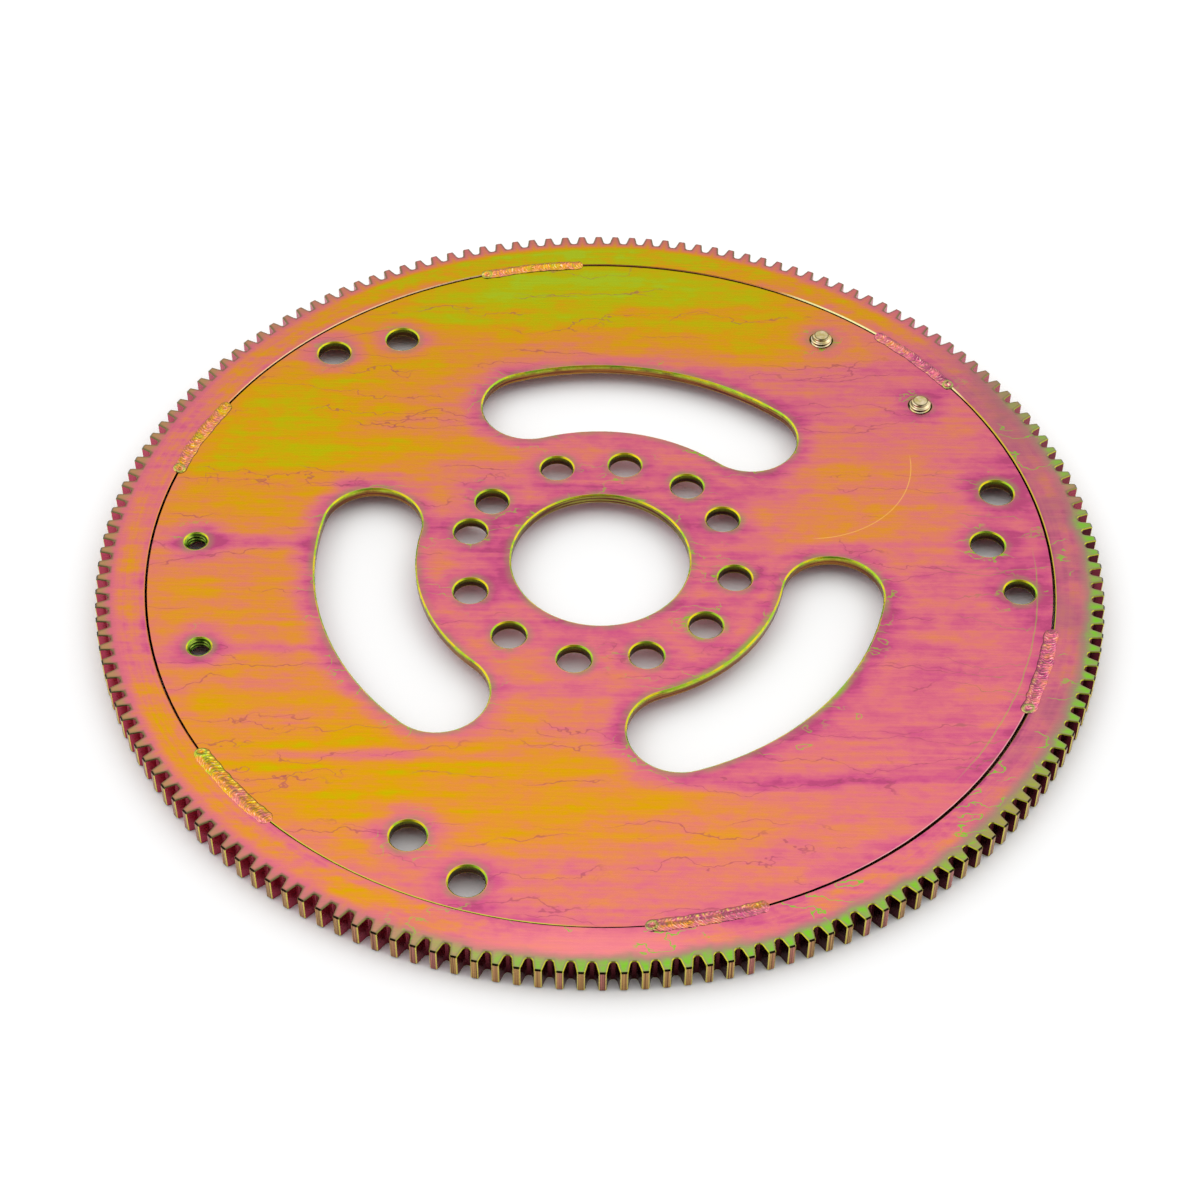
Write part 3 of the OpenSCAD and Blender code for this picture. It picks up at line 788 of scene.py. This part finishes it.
weldZinc = makeWeldZinc()
for i in range(6):
    middle = bead["phase"] + 60 * i
    for name, node, degrees, under in (("top_bead", "weld_bead", middle + bead["wander"][i], False),
                                       ("under_bead", "under_weld", middle + 30, True)):
        piece = makeBead(f"{name}_{i + 1}", degrees, i + 6 * under, bead["craterEnd"][i], bead["drops"][i],
                         bead["width"][i], bead["film"][i], under)
        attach(piece, "root")
        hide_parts(f"{node}_{i + 1}")
print("weld beads made")


# screws of the balance weight: a helix is swept for the thread, then the end and the head are shaped
screw = {"crest": 3.9, "root": 3.0, "pitch": 1.41, "turnSteps": 40, "end": 11.6, "point": 1.35, "neck": 4.0,
         "neckBand": 0.3, "head": 0.6, "headR": 7.25, "socket": 5.0, "socketDepth": 2.2}
screwLooks = {"patch": (2.5, 2.5, 2.5), "tints": ("#E4D2B4", "#BBAA6C"), "grooveShade": "#4A3C1E", "roughness": 0.15}
# thread in the two open tapped holes: a sleeve whose outer wall lies just inside the plate
tappedThread = {"crest": 3.3, "root": 3.93, "outer": 4.05, "pitch": 1.41, "low": 5.25, "high": 8.65, "sink": 0.6,
                "turnSteps": 40}
tappedLooks = {"patch": (2, 2, 2), "tints": ("#4E7A1C", "#A8C04A"), "grooveShade": "#0E1408", "roughness": 0.25}


# mm to the nearer axis of two tapped holes
def axisDistance(add, flat, pair):
    first, second = [add("VectorMath", flat, polar(radius, degrees), operation="DISTANCE", out=1)
                     for radius, degrees, _ in pair]
    return add("Math", first, second, operation="MINIMUM")


# a thread's shader: two tints in patches, and painted shade in the thread's grooves
def threadSurface(add, looks, patch, grooveShade):
    first, second = looks["tints"]
    colour = add("Mix", patch, at={6: first, 7: second}, **colourMix)
    colour = add("Mix", grooveShade, at={6: colour, 7: looks["grooveShade"]}, **colourMix)
    shader = add("BsdfPrincipled", at={"Base Color": colour, "Metallic": 1.0, "Roughness": looks["roughness"]})
    add("OutputMaterial", shader)


# clear zinc with a faint gold cast, brighter and smoother than the film on the plate
def makeScrewZinc():
    material, add = newMaterial("pale zinc on steel screw")
    here = millimetres(add)
    patch = add("MapRange", mottle(add, here.place, screwLooks["patch"], 3.0), 0.35, 0.65)
    # painted shade in the thread's grooves and along the rim of the flat end
    away = axisDistance(add, here.flat, screwHoles)
    grooveShade = add("MapRange", away, screw["crest"] - 0.15, screw["crest"] - 0.55, 0.0, 0.9)
    grooveShade = faded(add, grooveShade, (here.z, screw["end"] - 1.1, screw["end"] - 1.3))
    rim = add("Math", away, screw["point"] - screw["crest"], operation="ADD")
    rim = faded(add, thinLine(add, rim, 0.10, 0.30, 0.7), (here.z, screw["end"] - 0.4, screw["end"] - 0.2))
    grooveShade = add("Math", grooveShade, rim, operation="MAXIMUM")
    threadSurface(add, screwLooks, patch, grooveShade)
    return material


# cut thread under the film: bright green crests and painted shade in the grooves
def makeThreadZinc():
    material, add = newMaterial("yellow zinc chromate in a cut thread")
    here = millimetres(add)
    patch = add("MapRange", mottle(add, here.place, tappedLooks["patch"], 3.0), 0.40, 0.65)
    away = axisDistance(add, here.flat, openHoles)
    grooveShade = add("MapRange", away, tappedThread["crest"] + 0.1, tappedThread["crest"] + 0.4, 0.0, 0.95)
    grooveShade = faded(add, grooveShade, (here.z, part["plateTop"] - 0.5, part["plateTop"] - 0.9))
    threadSurface(add, tappedLooks, patch, grooveShade)
    return material


# sweeps a thread's section up a helix and cuts it off level at both ends
def sweepThread(bm, size, low, high):
    crest, root, pitch, steps = size["crest"], size["root"], size["pitch"], size["turnSteps"]
    flat = pitch * 0.14
    section = [(root, 0), (root, flat), (crest, pitch / 2 - flat / 2), (crest, pitch / 2 + flat / 2), (root, pitch)]
    line = [bm.verts.new((r, 0, low - pitch + h)) for r, h in section]
    wires = [bm.edges.new(pair) for pair in zip(line, line[1:])]
    turns = math.ceil((high - low) / pitch) + 2
    bmesh.ops.spin(bm, geom=line + wires, cent=(0, 0, 0), axis=zAxis, dvec=(0, 0, pitch / steps),
                   angle=2 * math.pi * turns, steps=steps * turns)
    bmesh.ops.remove_doubles(bm, verts=bm.verts[:], dist=0.002)
    for z, keepsAbove in ((low, True), (high, False)):
        bmesh.ops.bisect_plane(bm, geom=bm.verts[:] + bm.edges[:] + bm.faces[:], dist=1e-5, plane_co=(0, 0, z),
                               plane_no=(0, 0, 1), clear_inner=keepsAbove, clear_outer=not keepsAbove)


def rimAt(bm, z):
    return [e for e in bm.edges if e.is_boundary and all(abs(v.co.z - z) < 0.01 for v in e.verts)]


def drawRim(bm, rim, shape):
    made = bmesh.ops.extrude_edge_only(bm, edges=rim)["geom"]
    for v in [g for g in made if isinstance(g, bmesh.types.BMVert)]:
        v.co = shape(v.co.copy())
    return [g for g in made if isinstance(g, bmesh.types.BMEdge) and g.is_boundary]


def toRadius(p, r, z):
    return Vector((p.x, p.y, 0)).normalized() * r + Vector((0, 0, z))


def toHexagon(p, acrossFlats, z):
    off = (math.atan2(p.y, p.x) + math.pi / 6) % (math.pi / 3) - math.pi / 6
    return toRadius(p, acrossFlats / 2 / math.cos(off), z)


def makeScrew(name, hole):
    bm = bmesh.new()
    sweepThread(bm, screw, screw["neck"], screw["end"])
    for v in bm.verts:   # the point is coned, and the thread starts from a plain neck
        r, z = v.co.xy.length, v.co.z
        limit = screw["crest"] - max(0.0, z - (screw["end"] - screw["point"]))
        if z < screw["neck"] + screw["neckBand"]:
            v.co = toRadius(v.co, screw["crest"] - 0.05, z)
        elif r > limit:
            v.co = toRadius(v.co, limit, z)
    bmesh.ops.contextual_create(bm, geom=rimAt(bm, screw["end"]))
    rim = rimAt(bm, screw["neck"])
    rim = drawRim(bm, rim, lambda p: toRadius(p, screw["headR"], screw["head"]))
    rim = drawRim(bm, rim, lambda p: toHexagon(p, screw["socket"], screw["head"]))
    rim = drawRim(bm, rim, lambda p: p + Vector((0, 0, screw["socketDepth"])))
    bmesh.ops.contextual_create(bm, geom=rim)
    bmesh.ops.remove_doubles(bm, verts=bm.verts[:], dist=0.002)
    bmesh.ops.translate(bm, verts=bm.verts[:], vec=polar(hole[0], hole[1]))
    return newPiece(name, bm, screwZinc, smoothFaces=False)


def makeTappedThread(name, hole):
    bm = bmesh.new()
    t = tappedThread
    sweepThread(bm, t, t["low"], t["high"])
    for v in bm.verts:   # countersunk at the mouth
        least = t["crest"] + max(0.0, v.co.z - t["high"] + t["sink"])
        if v.co.xy.length < least:
            v.co = toRadius(v.co, min(least, t["root"]), v.co.z)
    upper = drawRim(bm, rimAt(bm, t["high"]), lambda p: toRadius(p, t["outer"], t["high"]))
    lower = drawRim(bm, rimAt(bm, t["low"]), lambda p: toRadius(p, t["outer"], t["low"]))
    bmesh.ops.bridge_loops(bm, edges=upper + lower)
    bmesh.ops.translate(bm, verts=bm.verts[:], vec=polar(hole[0], hole[1]))
    return newPiece(name, bm, threadZinc, smoothFaces=False)


screwZinc, threadZinc = makeScrewZinc(), makeThreadZinc()
for i in range(2):
    piece = makeScrew(f"threaded_screw_{i + 1}", screwHoles[i])
    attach(piece, "root")
    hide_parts(f"weight_screw_{i + 1}")
    piece = makeTappedThread(f"tapped_thread_{i + 1}", openHoles[i])
    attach(piece, "root")
print("screws and tapped threads made")


# studio: white floor in metres, bright sides, and less light from the front and from behind the camera; each
# band is the range of the direction's part over which its light changes
studio = {
    "floor": "#FBFBFB", "floorSize": 14.0, "sky": (0.73, 1.38), "skyBand": (0.50, 0.85), "front": 0.62,
    "frontBand": (0.1, -0.5), "sides": 1.8, "sideBand": (0.30, 0.70), "behindCamera": 0.30,
    "behindBand": (0.80, 0.96), "behindAim": (0, -0.80, 0.60),
}


def makeStudio():
    bm = bmesh.new()
    bmesh.ops.create_grid(bm, x_segments=1, y_segments=1, size=studio["floorSize"] / 2 / mm)
    material, add = newMaterial("matt white paper")
    shader = add("BsdfPrincipled", at={"Base Color": studio["floor"], "Roughness": 0.9, "Specular IOR Level": 0.1})
    add("OutputMaterial", shader)
    newPiece("floor", bm, material, smoothFaces=False)
    world = bpy.data.worlds.new("studio")
    bpy.context.scene.world = world
    world.use_nodes = True
    world.node_tree.nodes.clear()
    add = partial(addNode, world.node_tree)
    toward = add("TexCoord")
    across = add("SeparateXYZ", toward)
    along, up = across.node.outputs[1], across.node.outputs[2]
    across = add("Math", across, operation="ABSOLUTE")
    behind = add("VectorMath", toward, studio["behindAim"], operation="DOT_PRODUCT", out=1)
    strength = add("MapRange", up, *studio["skyBand"], *studio["sky"])
    front = add("MapRange", along, *studio["frontBand"], 1.0, studio["front"])
    sides = add("MapRange", across, *studio["sideBand"], 1.0, studio["sides"], **smooth)
    behind = add("MapRange", behind, *studio["behindBand"], 1.0, studio["behindCamera"], **smooth)
    for share in (front, sides, behind):
        strength = add("Math", strength, share, operation="MULTIPLY")
    add("OutputWorld", add("Background", (1, 1, 1, 1), strength))


# the camera as in the photograph: elevation and roll in degrees, distance and aim in units of the ring's radius,
# unit and height in metres, focal length and image in pixels, and sensor in mm
view = {"elevation": 46.38, "distance": 5.26, "focal": 2634.0, "image": 1200.0, "sensor": 36.0,
        "aim": (0.0001, -0.1158), "roll": -0.65, "unit": 0.175, "height": 0.0095}


def makeCamera():
    e, roll = math.radians(view["elevation"]), math.radians(view["roll"])
    unit, lift = view["unit"], Vector((0, 0, view["height"]))
    eye = Vector((0, -view["distance"] * math.cos(e), view["distance"] * math.sin(e))) * unit + lift
    aim = Vector((*view["aim"], 0)) * unit + lift
    forward = (aim - eye).normalized()
    right = forward.cross(zAxis).normalized()
    down = forward.cross(right)
    tilted = right * math.cos(roll) + down * math.sin(roll)
    up = right * math.sin(roll) - down * math.cos(roll)
    camera = bpy.data.objects.new("camera", bpy.data.cameras.new("camera"))
    camera.data.sensor_width = view["sensor"]
    camera.data.lens = view["focal"] / view["image"] * view["sensor"]
    camera.matrix_world = Matrix((tilted, up, -forward)).transposed().to_4x4()
    camera.location = eye
    bpy.context.scene.collection.objects.link(camera)
    bpy.context.scene.camera = camera


makeStudio()
makeCamera()
bpy.context.scene.view_settings.view_transform = "Standard"
print("studio and camera made")
